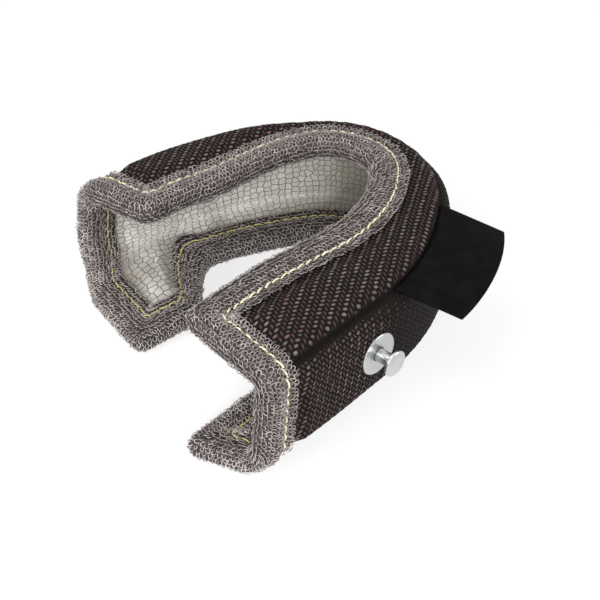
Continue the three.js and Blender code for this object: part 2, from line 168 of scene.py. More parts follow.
def plan_at(s):
    """Point and inward normal of the outer wall at a distance along the wrap."""
    from_apex = s - APEX
    side = np.where(from_apex < 0, 1.0, -1.0)
    bow_radius = np.where(from_apex < 0, LEFT_BOW[0], RIGHT_BOW[0])
    bow_length = np.where(from_apex < 0, LEFT_BOW[1], RIGHT_BOW[1])
    on_bend = np.minimum(np.abs(from_apex), BEND_HALF)
    on_bow = np.minimum(np.abs(from_apex) - on_bend, bow_length)
    on_straight = np.abs(from_apex) - on_bend - on_bow
    bend = on_bend / BEND_RADIUS
    angle = bend + on_bow / bow_radius
    rest = BEND_RADIUS - bow_radius
    x = rest * np.cos(bend) + bow_radius * np.cos(angle) - on_straight * np.sin(angle)
    y = rest * np.sin(bend) + bow_radius * np.sin(angle) + on_straight * np.cos(angle)
    return x, side * y, -np.cos(angle), -side * np.sin(angle)


class Section:
    """The channel's section at places along the wrap: straight stretches and fillet arcs."""

    def __init__(self, s):
        zero = np.zeros_like(s)
        corners = [
            (top_reach(s), zero + RIM_HEIGHT),
            (zero, zero + SHOULDER_HEIGHT),
            (mix(WALL_INSET[0], WALL_INSET[1], rightness(s)), zero),
            (bottom_reach(s), zero),
        ]
        self.corners = corners
        self.ways = []
        lengths = []
        for (x0, z0), (x1, z1) in zip(corners, corners[1:]):
            length = np.hypot(x1 - x0, z1 - z0)
            lengths.append(length)
            self.ways.append(((x1 - x0) / length, (z1 - z0) / length))
        turns = [
            np.arccos(a[0] * b[0] + a[1] * b[1]) for a, b in zip(self.ways, self.ways[1:])
        ]
        self.radii = fillets(s)
        cuts = [radius * np.tan(turn / 2) for radius, turn in zip(self.radii, turns)]
        self.arcs = [radius * turn for radius, turn in zip(self.radii, turns)]
        straights = [
            lengths[0] - cuts[0],
            lengths[1] - cuts[0] - cuts[1],
            lengths[2] - cuts[1],
        ]
        self.marks = [straights[0]]
        self.marks.append(self.marks[0] + self.arcs[0])
        self.marks.append(self.marks[1] + straights[1])
        self.marks.append(self.marks[2] + self.arcs[1])
        self.width = self.marks[3] + straights[2]
        self.shoulder = self.marks[0] + self.arcs[0] / 2
        self.heel = self.marks[2] + self.arcs[1] / 2

    def at(self, across):
        """Point in the section and its inward normal, across from the top rim."""
        x, z = self.corners[0]
        start = 0.0
        out_x = out_z = None
        nx = nz = None
        for i, way in enumerate(self.ways):
            normal = (-way[1], way[0])
            run = across - start
            px, pz = x + way[0] * run, z + way[1] * run
            if out_x is None:
                out_x, out_z, nx, nz = px, pz, normal[0], normal[1]
            else:
                here = across > start
                out_x, out_z = np.where(here, px, out_x), np.where(here, pz, out_z)
                nx, nz = np.where(here, normal[0], nx), np.where(here, normal[1], nz)
            if i == 2:
                break
            end = self.marks[2 * i]
            x, z = x + way[0] * (end - start), z + way[1] * (end - start)
            radius = self.radii[i]
            angle = np.clip(across - end, 0, self.arcs[i]) / radius
            cx, cz = x + normal[0] * radius, z + normal[1] * radius
            tx = normal[0] * np.cos(angle) - normal[1] * np.sin(angle)
            tz = normal[0] * np.sin(angle) + normal[1] * np.cos(angle)
            here = across > end
            out_x = np.where(here, cx - radius * tx, out_x)
            out_z = np.where(here, cz - radius * tz, out_z)
            nx, nz = np.where(here, tx, nx), np.where(here, tz, nz)
            full = self.arcs[i] / radius
            fx = normal[0] * np.cos(full) - normal[1] * np.sin(full)
            fz = normal[0] * np.sin(full) + normal[1] * np.cos(full)
            x, z = cx - radius * fx, cz - radius * fz
            start = self.marks[2 * i + 1]
        return out_x, out_z, nx, nz

    def cut(self, cuts, across):
        """How far in an end's edge lies from a square cut."""
        marks = [0 * self.width, self.shoulder, self.heel, self.marks[3], self.width]
        lean = cuts[0] + 0 * across
        for i in range(4):
            share = np.clip((across - marks[i]) / (marks[i + 1] - marks[i]), 0, 1)
            lean = lean + (cuts[i + 1] - cuts[i]) * share
        return lean


def blanket_point(s, across, depth):
    """Place of a point along the wrap, across the section and below the outer face, in m."""
    s, across, depth = np.broadcast_arrays(s, across, depth)
    section = Section(s)
    left = section.cut(LEFT_CUT, across) * (1 - smooth(s / CUT_FADE))
    right = section.cut(RIGHT_CUT, across) * (1 - smooth((WRAP - s) / CUT_FADE))
    x, y, inward_x, inward_y = plan_at(s + left - right)
    reach, height, normal_x, normal_z = section.at(across)
    reach = reach + depth * normal_x
    return np.stack([
        (x + inward_x * reach + PLAN_SHIFT[0]) * MM,
        (y + inward_y * reach + PLAN_SHIFT[1]) * MM,
        (height + depth * normal_z) * MM,
    ], axis=-1)


def rim_slant(s):
    return np.hypot(1.0, (bottom_reach(s + 1) - bottom_reach(s - 1)) / 2)


def edge_distance(s, across):
    section = Section(s)
    far = (section.width - across) / rim_slant(s)
    return np.minimum(np.minimum(s, WRAP - s), np.minimum(across, far))


def ripple(a, b, seed):
    """Slow uneven waviness between about -1 and 1, the same on every run."""
    rng = np.random.default_rng(seed)
    total = 0.0
    for _ in range(6):
        ka, kb = rng.uniform(-1, 1, 2)
        total = total + np.sin(ka * a + kb * b + rng.uniform(0, 6.28))
    return total / 3


def edge_press(edge):
    """Depth that the bound edge is pressed to below the face."""
    row = np.exp(-(((edge - STITCH) / 2.4) ** 2))
    return (PRESS + 0.5 * row) * (1 - smooth((edge - BOUND - 0.4) / HOLD))


def open_field(edge):
    """0 under the binding, rising to 1 where the cloth is free."""
    return smooth((edge - BOUND) / HOLD)


def seam_distance(section, across):
    return np.minimum(np.abs(across - section.shoulder), np.abs(across - section.heel))


def outer_face(s, across, crown, crease):
    """Depth of the cover's outer face, with crowned panels and creased seams."""
    section = Section(s)
    edge = edge_distance(s, across)
    field = open_field(edge)
    to_seam = seam_distance(section, across)
    pull = np.exp(-to_seam / 2.8)
    body = np.where(across > section.heel, 0.0, 1.0)
    swell = crown * (1 - np.exp(-to_seam / 5.0)) * body * field
    pucker = 0.35 * np.sin(s * 0.62 + 2 * ripple(s * 0.06, s * 0, 4))
    pucker = pucker * np.exp(-np.abs(edge - BOUND - 1) / 6) * smooth((edge - 12) / 4) * body
    slack = 0.45 * ripple(s * 0.11, across * 0.16, 7) * field * body
    return edge_press(edge) + crease * pull * field - swell + pucker * 0.8 + slack


def inner_face(s, across):
    """Depth of the lining's inner face, quilted a little by the felt behind it."""
    edge = edge_distance(s, across)
    soft = 0.5 * ripple(s * 0.09, across * 0.13, 11) * open_field(edge)
    return STACK - edge_press(edge) + soft


def build_mesh(name, points, faces):
    mesh = bpy.data.meshes.new(name)
    mesh.from_pydata(points.reshape(-1, 3).tolist(), [], faces)
    mesh.update()
    mesh.shade_smooth()
    piece = bpy.data.objects.new(name, mesh)
    bpy.context.collection.objects.link(piece)
    return piece


def grid_faces(index, close_rows=False, close_columns=False):
    if close_rows:
        index = np.vstack([index, index[:1]])
    if close_columns:
        index = np.hstack([index, index[:, :1]])
    quads = np.stack([index[:-1, :-1], index[:-1, 1:], index[1:, 1:], index[1:, :-1]], axis=-1)
    return quads.reshape(-1, 4)


def closed_mesh(name, points, faces, quads):
    """A closed body with its faces outward, judged by the volume inside its main quads."""
    points = points.reshape(-1, 3)
    corners = (points - points.mean(axis=0))[quads]
    first = np.cross(corners[:, 1], corners[:, 2])
    second = np.cross(corners[:, 2], corners[:, 3])
    if np.einsum("ij,ij->i", corners[:, 0], first + second).sum() < 0:
        faces = [face[::-1] for face in faces]
    return build_mesh(name, points, faces)


def shell(name, upper, lower, stride):
    """A closed cloth: a fine upper face, a coarser lower one and a rim that joins them."""
    rows, columns = upper.shape[:2]
    low = lower[::stride, ::stride]
    top_index = np.arange(rows * columns).reshape(rows, columns)
    low_index = np.arange(low.shape[0] * low.shape[1]).reshape(low.shape[:2]) + rows * columns
    points = np.vstack([upper.reshape(-1, 3), low.reshape(-1, 3)])
    faces = grid_faces(top_index).tolist()
    faces += grid_faces(low_index)[:, ::-1].tolist()
    rims = [
        (top_index[0][::-1], low_index[0][::-1]),
        (top_index[-1], low_index[-1]),
        (top_index[:, 0], low_index[:, 0]),
        (top_index[:, -1][::-1], low_index[:, -1][::-1]),
    ]
    for fine, coarse in rims:
        for i in range(len(coarse) - 1):
            run = fine[i * stride:(i + 1) * stride + 1].tolist()
            faces.append(run[::-1] + [int(coarse[i]), int(coarse[i + 1])])
    both = np.vstack([grid_faces(top_index), grid_faces(low_index)[:, ::-1]])
    return closed_mesh(name, points, faces, both)


def tube_ring(name, points):
    """A closed ring of a closed profile."""
    index = np.arange(points.shape[0] * points.shape[1]).reshape(points.shape[:2])
    quads = grid_faces(index, True, True)
    return closed_mesh(name, points, quads.tolist(), quads)


def store(piece, name, values):
    """Keeps a number for each vertex. Vertices past the values get zero."""
    mesh = piece.data
    full = np.zeros(len(mesh.vertices), dtype=np.float32)
    values = np.asarray(values, dtype=np.float32).ravel()
    full[:len(values)] = values
    mesh.attributes.new(name, "FLOAT", "POINT").data.foreach_set("value", full)


def store_vectors(piece, name, values):
    data = np.asarray(values, dtype=np.float32).ravel()
    piece.data.attributes.new(name, "FLOAT_VECTOR", "POINT").data.foreach_set("vector", data)


def ride(piece, slot, *nodes):
    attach(piece, "root")
    if nodes:
        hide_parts(*nodes)


class Net:
    """A node tree under construction."""

    def __init__(self, tree):
        self.nodes = tree.nodes
        self.links = tree.links

    def add(self, kind, inputs=None, **settings):
        """A new node. An input that is another node's socket is linked; a plain value is set."""
        node = self.nodes.new(kind)
        for key, value in settings.items():
            setattr(node, key, value)
        for key, value in (inputs or {}).items():
            self.plug(node.inputs[key], value)
        return node

    def plug(self, socket, value):
        if isinstance(value, bpy.types.NodeSocket):
            self.links.new(value, socket)
        else:
            socket.default_value = value

    def maths(self, operation, a, b=0.0):
        return self.add("ShaderNodeMath", {0: a, 1: b}, operation=operation).outputs[0]

    def times(self, a, b):
        return self.maths("MULTIPLY", a, b)

    def kept_in(self, value):
        """The value, held between 0 and 1."""
        return self.maths("MAXIMUM", self.maths("MINIMUM", value, 1.0), 0.0)


class Finish(Net):
    """A procedural material under construction."""

    def __init__(self, name, **sockets):
        self.material = bpy.data.materials.new(name)
        self.material.use_nodes = True
        super().__init__(self.material.node_tree)
        self.shader = self.nodes["Principled BSDF"]
        for socket, value in sockets.items():
            self.shader.inputs[socket.replace("_", " ")].default_value = value

    def attribute(self, name):
        return self.add("ShaderNodeAttribute", attribute_name=name).outputs["Fac"]

    def place(self):
        return self.add("ShaderNodeTexCoord").outputs["Object"]

    def noise(self, scale, detail=3.0, roughness=0.5):
        inputs = {"Vector": self.place(), "Scale": scale, "Detail": detail, "Roughness": roughness}
        return self.add("ShaderNodeTexNoise", inputs).outputs["Fac"]

    def blend(self, share, a, b):
        node = self.add("ShaderNodeMix", data_type="RGBA")
        self.plug(node.inputs["Factor"], share)
        self.plug(node.inputs["A"], a)
        self.plug(node.inputs["B"], b)
        return node.outputs["Result"]

    def ranged(self, value, low, high, out_low=0.0, out_high=1.0):
        inputs = {"Value": value, 1: low, 2: high, 3: out_low, 4: out_high}
        return self.add("ShaderNodeMapRange", inputs).outputs[0]

    def colour(self, value):
        self.plug(self.shader.inputs["Base Color"], value)

    def rough(self, value):
        self.plug(self.shader.inputs["Roughness"], value)

    def bump(self, height, distance, strength=1.0):
        inputs = {"Height": height, "Distance": distance, "Strength": strength}
        self.plug(self.shader.inputs["Normal"], self.add("ShaderNodeBump", inputs).outputs[0])


def speck(i, j, seed):
    """An even scatter of numbers between 0 and 1, one for each whole pair."""
    wave = np.sin(i * 127.1 + j * 311.7 + seed * 74.7) * 43758.5453
    return wave - np.floor(wave)


def twill_floats(u, v, pitch):
    """Height and tint of a four-shaft twill: each yarn passes over two others, then under two."""
    i = np.floor(u / pitch)
    j = np.floor(v / pitch)
    across_warp = (u / pitch - i - 0.5) * 2
    across_weft = (v / pitch - j - 0.5) * 2
    turn = (v / pitch + i) / 4.0
    m = np.floor(turn)
    lift = speck(i, m, 1)
    run = (turn - m) * 4.0 + 0.3 * (speck(i, m, 2) - 0.5)
    rise = np.clip(1 - np.abs((run - 1.0) / mix(0.72, 1.0, lift)) ** 2, 0, 1)
    warp = (rise * np.clip(1 - np.abs(across_warp / 0.95) ** 2, 0, 1)) ** 0.6 * mix(0.82, 1.0, lift)
    side = (u / pitch + j) / 4.0
    n = np.floor(side)
    sink = np.clip(1 - np.abs(((side - n) * 4.0 - 3.0) / 1.05) ** 2, 0, 1)
    weft = (sink * np.clip(1 - np.abs(across_weft / 0.9) ** 2, 0, 1)) ** 0.6
    height = np.maximum(warp, 0.72 * weft)
    tint = np.where(warp >= 0.72 * weft, 0.85 * lift, 0.8 + 0.2 * speck(j, n, 3))
    return height, tint


def scaled(colour, red, green, blue):
    """A colour with each of its parts multiplied, and held at 1."""
    parts = zip(colour[:3], (red, green, blue))
    return tuple(min(1.0, part * factor) for part, factor in parts) + (1.0,)


def colour_prop(name, text, value):
    return bpy.props.FloatVectorProperty(
        name=name, description=text, subtype="COLOR", size=4, min=0, max=1, default=(*value, 1.0))


def length_prop(name, text, value):
    return bpy.props.FloatProperty(
        name=name, description=text, default=value, min=0, unit="LENGTH", subtype="DISTANCE")


class CoverSettings(bpy.types.PropertyGroup):
    yarn_pitch: length_prop("Yarn pitch", "Distance between two yarns of the twill", 0.00152)
    relief: length_prop("Float height", "How far a float stands out of the cloth", 0.00032)
    crown: length_prop("Crown", "How far a panel swells between its seams", 0.0016)
    crease: length_prop("Crease", "How deep the seams are drawn in", 0.0024)
    yarn: colour_prop("Yarn", "Colour of the basalt yarn in its crossings", (0.006, 0.0045, 0.0042))
    # The two float colours are painted highlights: pale grey and brown light on the crowns of the
    # floats, in place of the yarn's sheen.
    grey_float_highlight: colour_prop("Float", "Colour on top of the grey floats", (0.4, 0.35, 0.32))
    brown_float_highlight: colour_prop("Brown float", "Colour on top of the browner floats", (0.18, 0.108, 0.094))


class LiningSettings(bpy.types.PropertyGroup):
    loop: length_prop("Loop size", "Width of a loop of the knitted lining", 0.0031)
    wire: colour_prop("Wire", "Colour of the bright wire", (0.78, 0.765, 0.735))
    shade: colour_prop("Gap", "Colour of the gaps between loops", (0.14, 0.128, 0.11))
    # Blended in near the bound edges, in random patches, and towards the bend as painted shade.
    stain_and_shade: colour_prop("Stain", "Colour near the bound edges", (0.25, 0.228, 0.185))


class BindingSettings(bpy.types.PropertyGroup):
    course: length_prop("Course", "Distance between loops along the edge", 0.00176)
    wale: length_prop("Wale", "Distance between rows of loops across the binding", 0.0016)
    wire: length_prop("Wire", "Diameter of the knitted wire", 0.0004)
    plump: length_prop("Plumpness", "How far the binding swells before its stitching", 0.0011)
    bright: colour_prop("Wire colour", "Colour of the steel wire", (0.52, 0.474, 0.45))
    # Near black: painted shade in the holes of the knit, seen through to the layers below.
    under: colour_prop("Under layer", "Colour of the folded layers below", (0.014, 0.011, 0.0105))


class StitchSettings(bpy.types.PropertyGroup):
    pitch: length_prop("Stitch length", "Distance between two needle holes", 0.0042)
    thickness: length_prop("Thread", "Diameter of the sewing thread", 0.00075)
    needle: colour_prop("Needle thread", "Colour of the outer row", (0.86, 0.8, 0.56))
    bobbin: colour_prop("Bobbin thread", "Colour of the inner row", (0.55, 0.50, 0.16))


class LabelSettings(bpy.types.PropertyGroup):
    width: length_prop("Width", "Length of the label along the seam", 0.061)
    length: length_prop("Length", "Length of the label out from the seam", 0.0285)
    satin: colour_prop("Satin", "Colour of the bare label", (0.0035, 0.0034, 0.0034))


class RivetSettings(bpy.types.PropertyGroup):
    head: length_prop("Head", "Diameter of the lacing head", 0.011)
    washer: length_prop("Washer", "Diameter of the outer washer", 0.018)
    steel: colour_prop("Steel", "Colour of the satin steel", (0.62, 0.63, 0.63))


class StageSettings(bpy.types.PropertyGroup):
    lens: bpy.props.FloatProperty(
        name="Lens", description="Focal length of the camera", default=97.5, min=1, unit="CAMERA")
    floor: colour_prop("Floor", "Colour of the floor", (0.9, 0.9, 0.9))


def twill_finish(settings):
    finish = Finish("basalt_twill", Roughness=0.6, IOR=1.45)
    height = finish.attribute("float_height")
    tint = finish.attribute("float_tint")
    seam = finish.attribute("seam_painted_shade")
    strands = finish.noise(2600.0, 2.0)
    patch = finish.noise(60.0, 2.0)
    # Painted highlights: the crowns of the floats take the grey or brown highlight colour, and the
    # dark yarn colour lies between them.
    brown = finish.ranged(finish.maths("ADD", tint, patch), 0.85, 1.25)
    top = finish.blend(brown, tuple(settings.grey_float_highlight), tuple(settings.brown_float_highlight))
    crown = finish.ranged(height, 0.45, 0.97)
    lit = finish.times(crown, finish.ranged(strands, 0.3, 0.7, 0.5, 1.15))
    lit = finish.times(lit, finish.ranged(tint, 0.0, 1.0, 0.3, 1.2))
    # Painted shade: the floats darken into the creases along the seams.
    lit = finish.times(lit, finish.ranged(seam, 0.15, 0.7, 1.0, 0.0))
    # Painted shade: the wall from near the bend to the right rivet is darkened, where it turns away
    # from the light.
    lit = finish.times(lit, finish.ranged(finish.attribute("painted_wall_shade"), 0.0, 1.0, 1.0, 0.12))
    finish.colour(finish.blend(lit, tuple(settings.yarn), top))
    finish.rough(finish.ranged(height, 0.0, 1.0, 0.85, 0.5))
    finish.shader.inputs["Specular IOR Level"].default_value = 0.1
    finish.bump(finish.maths("ADD", finish.times(strands, 0.35), height), 0.0002, 0.8)
    return finish.material


def lining_finish(settings):
    finish = Finish("knitted_lining", Metallic=0.12)
    edge = finish.attribute("edge_dark_and_bend_shade")
    lie = finish.add("ShaderNodeAttribute", attribute_name="lie").outputs["Vector"]
    fine = finish.noise(1500.0, 3.0)
    patch = finish.noise(45.0, 3.0)
    weave = {"Vector": lie, "Scale": 1.0, "Randomness": 0.5}
    cells = finish.add(
        "ShaderNodeTexVoronoi", weave, feature="DISTANCE_TO_EDGE", voronoi_dimensions="2D")
    tint = finish.add("ShaderNodeTexVoronoi", weave, voronoi_dimensions="2D").outputs["Color"]
    tint = finish.add("ShaderNodeSeparateColor", {0: tint}).outputs[0]
    # Darker near the bound edges and in random patches; towards the bend the darkening is painted
    # shade.
    stain_and_shade = finish.maths("ADD", edge, finish.ranged(patch, 0.48, 0.72, 0.0, 0.5))
    dull = tuple(settings.stain_and_shade)
    bright = finish.blend(finish.maths("MINIMUM", stain_and_shade, 1.0), tuple(settings.wire), dull)
    bright = finish.blend(finish.times(finish.ranged(fine, 0.35, 0.7), 0.4), bright, dull)
    bright = finish.blend(finish.ranged(tint, 0, 1, 0.0, 0.3), bright, dull)
    width = finish.ranged(fine, 0.3, 0.7, 0.05, 0.11)
    line = finish.maths("SUBTRACT", 1.0, finish.ranged(cells.outputs["Distance"], 0.02, width))
    finish.colour(finish.blend(line, bright, tuple(settings.shade)))
    finish.rough(finish.ranged(fine, 0.3, 0.7, 0.42, 0.65))
    finish.bump(finish.maths("SUBTRACT", finish.times(fine, 0.5), line), 0.0003, 0.8)
    return finish.material


def wire_finish(settings):
    finish = Finish("knitted_wire", Metallic=0.3)
    patch = finish.noise(420.0, 3.0, 0.7)
    cloud = finish.noise(170.0, 2.0, 0.5)
    height = finish.add("ShaderNodeSeparateXYZ", {0: finish.place()}).outputs[2]
    # Painted light: the wire is paler low down near the floor, to light the binding's foot.
    painted_low_light = finish.ranged(height, 0.0, 0.022, 0.35, 0.0)
    share = finish.ranged(patch, 0.35, 0.7)
    share = finish.maths("ADD", share, finish.ranged(cloud, 0.3, 0.7, -0.35, 0.25))
    share = finish.kept_in(finish.maths("ADD", share, painted_low_light))
    colour = tuple(settings.bright)
    dark = scaled(colour, 0.36, 0.34, 0.34)
    finish.colour(finish.blend(share, dark, colour))
    finish.rough(finish.ranged(patch, 0.3, 0.7, 0.55, 0.36))
    return finish.material


def under_layer_finish(settings):
    finish = Finish("folded_mesh_hole_shade", Metallic=0.4, Roughness=0.6)
    fine = finish.noise(1300.0, 3.0, 0.7)
    # The folded layers are coloured near black as painted shade in the holes between the loops,
    # with paler specks.
    under = tuple(settings.under)
    light = scaled(under, 10.0, 10.0, 10.0)
    share = finish.ranged(fine, 0.46, 0.66)
    finish.colour(finish.blend(share, under, light))
    finish.bump(fine, 0.0004, 0.9)
    return finish.material


def thread_finish(name, colour):
    finish = Finish(name, Roughness=0.7)
    twist = finish.noise(1900.0, 2.0)
    dark = scaled(colour, 0.55, 0.52, 0.45)
    finish.colour(finish.blend(finish.ranged(twist, 0.3, 0.6), dark, tuple(colour)))
    finish.bump(twist, 0.00015, 0.6)
    return finish.material


def satin_finish(settings):
    finish = Finish("black_satin", Roughness=0.6, Specular_IOR_Level=0.02)
    place = finish.place()
    wave = finish.add("ShaderNodeTexWave", {"Vector": place, "Scale": 900.0, "Distortion": 0.6})
    fine = wave.outputs["Fac"]
    dust_and_sheen = finish.noise(140.0, 4.0, 0.6)
    colour = tuple(settings.satin)
    pale = scaled(colour, 2.1, 2.1, 2.1)
    # Paler patches: dust and painted sheen on the black satin; the same noise varies the roughness.
    finish.colour(finish.blend(finish.ranged(dust_and_sheen, 0.45, 0.75), colour, pale))
    finish.rough(finish.ranged(dust_and_sheen, 0.3, 0.7, 0.45, 0.6))
    finish.bump(fine, 0.00005, 0.35)
    return finish.material


def steel_finish(settings):
    finish = Finish("satin_steel", Metallic=1.0)
    scratch = finish.noise(700.0, 5.0, 0.7)
    cloud = finish.noise(90.0, 2.0)
    colour = tuple(settings.steel)
    dull = scaled(colour, 0.82, 0.82, 0.83)
    finish.colour(finish.blend(finish.ranged(cloud, 0.35, 0.65), dull, colour))
    finish.rough(finish.ranged(scratch, 0.3, 0.7, 0.24, 0.4))
    finish.bump(scratch, 0.00002, 0.3)
    return finish.material


def felt_finish():
    finish = Finish("needled_felt", Roughness=1.0)
    fibre = finish.noise(900.0, 4.0, 0.7)
    finish.colour(finish.blend(fibre, (0.55, 0.52, 0.44, 1), (0.78, 0.75, 0.66, 1)))
    finish.bump(fibre, 0.0003, 0.8)
    return finish.material


def panel_grid(kind, along_step, across_step, stride):
    """Places along and across one panel of the cover, in counts that suit the stride."""
    s0, s1 = FOLD, WRAP - FOLD
    rows = int((s1 - s0) / along_step / stride) * stride + 1
    s = np.linspace(s0, s1, rows)[:, None]
    section = Section(s)
    slant = rim_slant(s)
    half = 0.03
    spans = {
        "top": (FOLD + 0 * s, section.shoulder - half),
        "wall": (section.shoulder + half, section.heel - half),
        "bottom": (section.heel + half, section.width - FOLD * slant),
        "whole": (FOLD + 0 * s, section.width - FOLD * slant),
    }
    low, high = spans[kind]
    columns = int(np.max(high - low) / across_step / stride) * stride + 1
    share = np.linspace(0, 1, columns)[None, :]
    return s + 0 * share, low + (high - low) * share


def weave_places(kind, points, s, across):
    """Flat panels are cut from cloth laid flat; the wall is a strip that runs round."""
    if kind == "wall":
        turn, x, y = math.radians(WALL_TURN + 45), s, across
    else:
        turn, x, y = math.radians(WALE_TURN + 45), points[..., 0] / MM, points[..., 1] / MM
    a = x * math.cos(turn) + y * math.sin(turn)
    b = -x * math.sin(turn) + y * math.cos(turn)
    return a, b


class BLANKET_OT_covers(bpy.types.Operator):
    """Weaves the three twill panels of the outer cover"""
    bl_idname = "blanket.covers"
    bl_label = "Twill Cover"

    def execute(self, context):
        settings = context.scene.blanket_cover
        material = twill_finish(settings)
        crown, crease = settings.crown / MM, settings.crease / MM
        steps = {"top": (0.55, 0.5), "wall": (0.6, 0.55), "bottom": (0.9, 0.8)}
        for kind, (along_step, across_step) in steps.items():
            s, across = panel_grid(kind, along_step, across_step, 4)
            depth = outer_face(s, across, crown, crease)
            smooth_points = blanket_point(s, across, depth)
            a, b = weave_places(kind, smooth_points, s, across)
            drift = 0.5 * ripple(a * 0.05, b * 0.05, 21)
            height, tint = twill_floats(
                a + drift, b + 0.6 * ripple(a * 0.04, b * 0.04, 22), settings.yarn_pitch / MM)
            upper = blanket_point(s, across, depth - height * settings.relief / MM)
            lower = blanket_point(s, across, depth + COVER)
            upper, lower = above_floor(upper, 0.0), above_floor(lower, 0.0002)
            piece = shell(f"twill_{kind}", upper, lower, 4)
            store(piece, "float_height", height)
            store(piece, "float_tint", tint)
            to_seam = seam_distance(Section(s), across)
            # Weight of the painted shade in the seam creases.
            store(piece, "seam_painted_shade", np.exp(-((to_seam / 2.6) ** 2)))
            # Painted shade on the wall, from near the bend to the right rivet.
            painted_wall_shade = smooth((WRAP - s - 55) / 20) * smooth((s - APEX - 10) / 40)
            store(piece, "painted_wall_shade", painted_wall_shade if kind == "wall" else 0 * s)
            piece.data.materials.append(material)
            ride(piece, "twill", f"outer_cover_{kind}")
            blanket_point(s, across, depth)
        return {"FINISHED"}


class BLANKET_OT_felt(bpy.types.Operator):
    """Lays the felt between the cover and the lining"""
    bl_idname = "blanket.felt"
    bl_label = "Felt"

    def execute(self, context):
        material = felt_finish()
        for kind in ("top", "wall", "bottom"):
            s, across = panel_grid(kind, 2.5, 1.6, 1)
            cover = context.scene.blanket_cover
            under = outer_face(s, across, cover.crown / MM, cover.crease / MM) + COVER + GAP
            upper = blanket_point(s, across, under)
            lower = blanket_point(s, across, inner_face(s, across) - LINING - GAP)
            piece = shell(f"needled_felt_{kind}", upper, lower, 1)
            piece.data.materials.append(material)
            ride(piece, "felt", f"felt_{kind}")
        return {"FINISHED"}


class BLANKET_OT_lining(bpy.types.Operator):
    """Knits the bright steel lining of the channel"""
    bl_idname = "blanket.lining"
    bl_label = "Mesh Lining"

    def execute(self, context):
        settings = context.scene.blanket_lining
        s, across = panel_grid("whole", 1.1, 1.0, 4)
        depth = inner_face(s, across)
        upper = blanket_point(s, across, depth)
        lower = blanket_point(s, across, depth - LINING)
        piece = shell("steel_mesh_lining", upper, lower, 4)
        arc = across - Section(s).heel
        size = settings.loop / MM
        count = len(piece.data.vertices)
        lie = np.zeros((count, 3))
        flat = np.stack([s * 0.93 / size, arc / size / 0.9, 0 * s], axis=-1).reshape(-1, 3)
        lie[:len(flat)] = flat
        store_vectors(piece, "lie", lie)
        # Darker near the bound edges, and darker towards the bend as painted shade.
        near = 0.6 - 0.6 * smooth((edge_distance(s, across) - BOUND) / 9.0)
        store(piece, "edge_dark_and_bend_shade", near + 0.85 * smooth((s - 70) / 80))
        piece.data.materials.append(lining_finish(settings))
        ride(piece, "lining", "mesh_lining")
        return {"FINISHED"}


def edge_run(step):
    """Pairs of places round the blanket's edge: on the border, and 15 mm in from it.

    A corner's places fan out from one inner place, so that the fold goes round it.
    """
    border, inner = [], []

    def place_from(end, bottom, uv):
        """A place given by how far it lies in from an end and from a rim."""
        u, v = uv
        s = WRAP - u if end else u
        if not bottom:
            return s, v
        width = float(Section(np.array(s)).width)
        return s, width - v * float(rim_slant(np.array(s)))

    def add(places, insides):
        border.extend(places)
        inner.extend(insides)

    def add_corner(end, bottom, reverse):
        count, run = 14, 6
        step_in = (BOUND - CORNER) / run
        angles = [math.radians(90 * (k + 0.5) / count) for k in range(count)]
        ways = [(BOUND - step_in * k, 0.0) for k in range(run)]
        ways += [(CORNER - CORNER * math.sin(a), CORNER - CORNER * math.cos(a)) for a in angles]
        ways += [(0.0, CORNER + step_in * (k + 1)) for k in range(run)]
        if reverse:
            ways = ways[::-1]
        fan = place_from(end, bottom, (BOUND, BOUND))
        add([place_from(end, bottom, way) for way in ways], [fan] * len(ways))

    def add_end(s, inward, near):
        width = float(Section(np.array(near)).width)
        count = int((width - 2 * BOUND) / step)
        across = np.linspace(BOUND, width - BOUND, count)
        if inward > 0:
            across = across[::-1]
        add([(s, v) for v in across], [(s + inward * BOUND, v) for v in across])

    middle = np.linspace(BOUND, WRAP - BOUND, int((WRAP - 2 * BOUND) / step))
    add([(s, 0.0) for s in middle], [(s, BOUND) for s in middle])
    add_corner(True, False, False)
    add_end(WRAP, -1, WRAP - 7.0)
    add_corner(True, True, True)
    width = Section(middle).width
    back = middle[::-1]
    add(zip(back, width[::-1]), zip(back, (width - BOUND * rim_slant(middle))[::-1]))
    add_corner(False, True, False)
    add_end(0.0, 1, 7.0)
    add_corner(False, False, True)
    return np.array(border), np.array(inner)


def binding_face(edge, plump):
    """Height of the binding's outer leg: down at the stitching, plump before it."""
    leg = edge_press(edge) - GAP - 1.0
    roll = np.exp(-(((edge - 6.0) / 3.0) ** 2))
    lip = np.exp(-(((edge - 14.0) / 1.8) ** 2))
    return leg - plump * (roll + 0.35 * lip)


def binding_profile(plump, count):
    """Edge distances and depths from the outer leg's edge, round the fold, to the inner leg's."""
    edges = np.linspace(BOUND, FOLD, count)
    outer = np.stack([edges, binding_face(edges, plump)], axis=1)
    top = outer[-1, 1]
    half = (STACK - 2 * top) / 2
    turns = np.linspace(0, math.pi, count)[1:-1]
    reach = FOLD - 0.1
    fold = np.stack([FOLD - reach * np.sin(turns) ** 0.8, top + half * (1 - np.cos(turns))], axis=1)
    inner = outer[::-1].copy()
    inner[:, 1] = STACK - inner[:, 1]
    return np.vstack([outer, fold, inner])


def carried(border, inner, edges, depths):
    """Points of a profile at each pair of places round the edge."""
    share = (edges / BOUND)[None, :]
    s = border[:, 0][:, None] + (inner[:, 0] - border[:, 0])[:, None] * share
    across = border[:, 1][:, None] + (inner[:, 1] - border[:, 1])[:, None] * share
    return blanket_point(s, across, depths[None, :] + 0 * s)


def above_floor(points, least):
    points = points.copy()
    points[..., 2] = np.maximum(points[..., 2], least)
    return points


